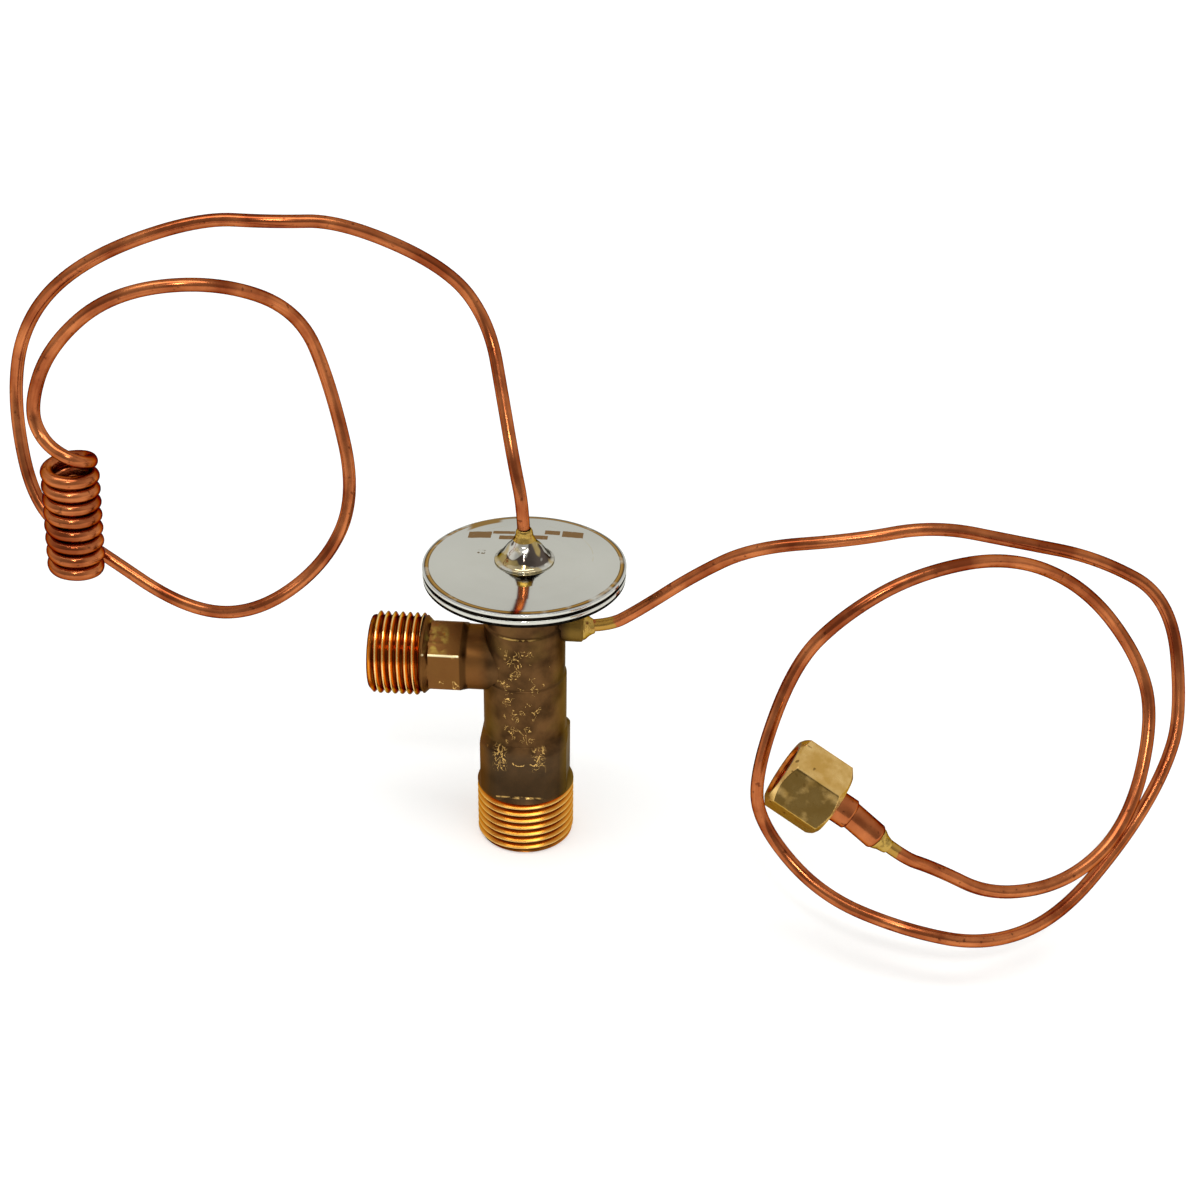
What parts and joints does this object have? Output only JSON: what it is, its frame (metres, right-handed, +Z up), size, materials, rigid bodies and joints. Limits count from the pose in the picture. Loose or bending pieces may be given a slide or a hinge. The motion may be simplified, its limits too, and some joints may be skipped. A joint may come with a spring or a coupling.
{
  "type": "thermostatic expansion valve",
  "caption": "Angle-pattern brass expansion valve with a disc power head, a coiled copper sensing line and a looped copper equalizer line that ends in a flare nut.",
  "frame": {"origin": "centre of the outlet thread's end face, which is the valve's lowest point", "axes": "+Z up the valve's axis from the outlet to the power head; -X out of the inlet; +Y away from the side the picture shows"},
  "size_m": [0.2208, 0.0647, 0.1226],
  "materials": {
    "brass": "machined, tarnished brown",
    "copper": "drawn copper, lightly oxidised",
    "braze": "silver braze, as flowed",
    "plated_steel": "pressed stainless steel, bright",
    "spring_steel": "ground stainless steel",
    "wire_cloth": "fine woven stainless wire",
    "seal_rubber": "moulded black rubber"
  },
  "bodies": {
    "valve": {"valve_body": "brass", "power_head_gasket": "copper", "lower_cover": "plated_steel", "upper_cover": "plated_steel", "diaphragm": "spring_steel", "rod_seal": "seal_rubber", "seal_retainer": "brass", "valve_seat": "spring_steel", "superheat_spring": "spring_steel", "inlet_strainer": "wire_cloth", "strainer_ring": "brass", "capillary_adapter": "plated_steel", "capillary_braze": "braze", "capillary_tube": "copper", "equalizer_tube": "copper", "equalizer_braze": "braze", "flare_stub": "copper", "stub_braze": "braze"},
    "stem": {"push_rod": "spring_steel", "thrust_pad": "spring_steel", "valve_ball": "spring_steel", "ball_carrier": "brass"},
    "seat_slide": {"spring_seat": "brass"},
    "adjuster": {"adjusting_nut": "brass"},
    "nut": {"flare_nut": "brass"}
  },
  "joints": [
    {"name": "stem_stroke", "type": "slide", "parent": "valve", "child": "stem", "axis": [0, 0, -1], "range_m": [0, 0.0008], "stiffness_N_per_m": 1500, "springref_m": -0.001, "deforming": ["superheat_spring", "diaphragm"]},
    {"name": "superheat_setting", "type": "slide", "parent": "valve", "child": "seat_slide", "axis": [0, 0, 1], "range_m": [-0.001, 0.001], "deforming": ["superheat_spring"]},
    {"name": "adjuster_turn", "type": "hinge", "parent": "seat_slide", "child": "adjuster", "pos_m": [0, 0, 0.007], "axis": [0, 0, 1], "range_deg": [-361, 361]},
    {"name": "flare_nut_turn", "type": "hinge", "parent": "valve", "child": "nut", "pos_m": [0.04879, -0.03572, 0.04194], "axis": [0.8556, -0.2256, -0.4658], "continuous": true}
  ],
  "couplings": [
    {"joint": "adjuster_turn", "follows": "superheat_setting", "rad_per_m": 6283.2}
  ]
}
